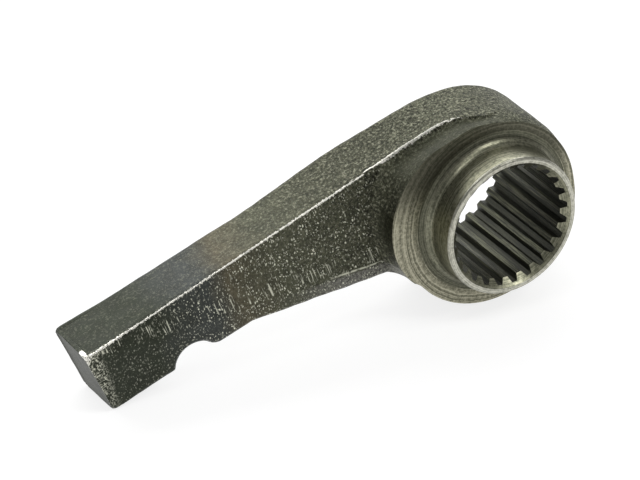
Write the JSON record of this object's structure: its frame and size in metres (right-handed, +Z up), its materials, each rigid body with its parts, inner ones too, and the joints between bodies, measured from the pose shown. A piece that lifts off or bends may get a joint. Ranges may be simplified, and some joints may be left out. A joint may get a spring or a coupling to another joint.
{
  "type": "clutch release arm",
  "caption": "Forged steel lever: a tapered arm with a round-bottomed rod notch near its tip and a turned, internally splined hub at the other end.",
  "frame": {"origin": "on the axis of the splined bore, in the middle of the hub's length", "axes": "-Y out of the turned collar along the bore, +Z up with the arm standing on its edge, the arm's tip towards -X"},
  "size_m": [0.1035, 0.0244, 0.0383],
  "materials": {
    "forged_steel": "dark forging scale, with a turned hub and a broached bore left bright"
  },
  "bodies": {
    "root": {"release_arm": "forged_steel"}
  },
  "joints": []
}
